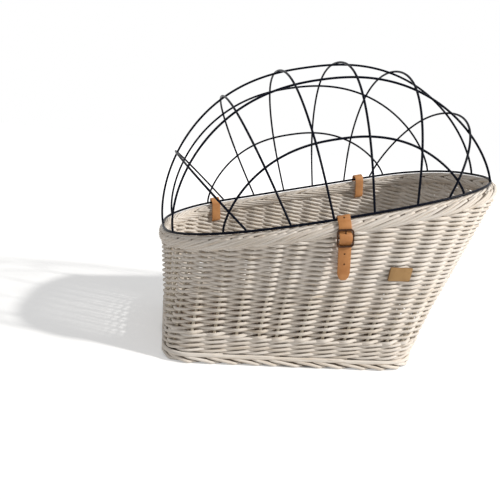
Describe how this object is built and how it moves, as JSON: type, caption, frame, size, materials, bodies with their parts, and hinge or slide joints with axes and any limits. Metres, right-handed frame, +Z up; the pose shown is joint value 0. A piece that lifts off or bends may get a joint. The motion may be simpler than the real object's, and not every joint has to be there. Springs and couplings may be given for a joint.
{
  "type": "dog bicycle basket",
  "caption": "Woven willow bicycle basket for a small dog, with a flared rear, a sloping rim and a hinged wire cage lid held by a leather strap.",
  "frame": {"origin": "middle of the flat underside of the base", "axes": "+Z up, +X to the rear of the bicycle where the rim is highest, -Y the side with the strap, +Y the hinge side"},
  "size_m": [0.6024, 0.4243, 0.5113],
  "materials": {
    "willow": "white-washed peeled willow, matt",
    "stake": "peeled willow, matt",
    "wire": "gloss black enamel",
    "leather": "tan vegetable-tanned leather, satin",
    "bronze": "dark antique bronze, worn edges",
    "badge": "olive tan leather, bare"
  },
  "bodies": {
    "basket": {"bottom_panel": "willow", "foot_border": "willow", "waling": "willow", "side_weave": "willow", "top_border": "willow", "stake_01": "stake", "stake_02": "stake", "stake_03": "stake", "stake_04": "stake", "stake_05": "stake", "stake_06": "stake", "stake_07": "stake", "stake_08": "stake", "stake_09": "stake", "stake_10": "stake", "stake_11": "stake", "stake_12": "stake", "stake_13": "stake", "stake_14": "stake", "stake_15": "stake", "stake_16": "stake", "stake_17": "stake", "stake_18": "stake", "stake_19": "stake", "stake_20": "stake", "stake_21": "stake", "stake_22": "stake", "stake_23": "stake", "stake_24": "stake", "stake_25": "stake", "stake_26": "stake", "stake_27": "stake", "stake_28": "stake", "stake_29": "stake", "stake_30": "stake", "stake_31": "stake", "stake_32": "stake", "stake_33": "stake", "stake_34": "stake", "stake_35": "stake", "stake_36": "stake", "hinge_loop_front": "leather", "hinge_loop_rear": "leather", "strap_tongue": "leather", "badge": "badge"},
    "lid": {"lid_ring": "wire", "long_wire_centre": "wire", "long_wire_upper_near": "wire", "long_wire_upper_far": "wire", "long_wire_lower_near": "wire", "long_wire_lower_far": "wire", "hoop_1": "wire", "hoop_2": "wire", "hoop_3": "wire", "hoop_4": "wire", "hoop_5": "wire", "hoop_6": "wire"},
    "strap": {"strap": "leather", "buckle_frame": "bronze", "buckle_prong": "bronze"}
  },
  "joints": [
    {"name": "lid_hinge", "type": "hinge", "parent": "basket", "child": "lid", "pos_m": [0.056, 0.19585, 0.265], "axis": [-0.9703, 0, -0.2419], "range_deg": [0, 105]},
    {"name": "strap_swing", "type": "hinge", "parent": "lid", "child": "strap", "pos_m": [0.03329, -0.19586, 0.25934], "axis": [-0.9702, 0.0154, -0.2419], "range_deg": [0, 60]}
  ]
}
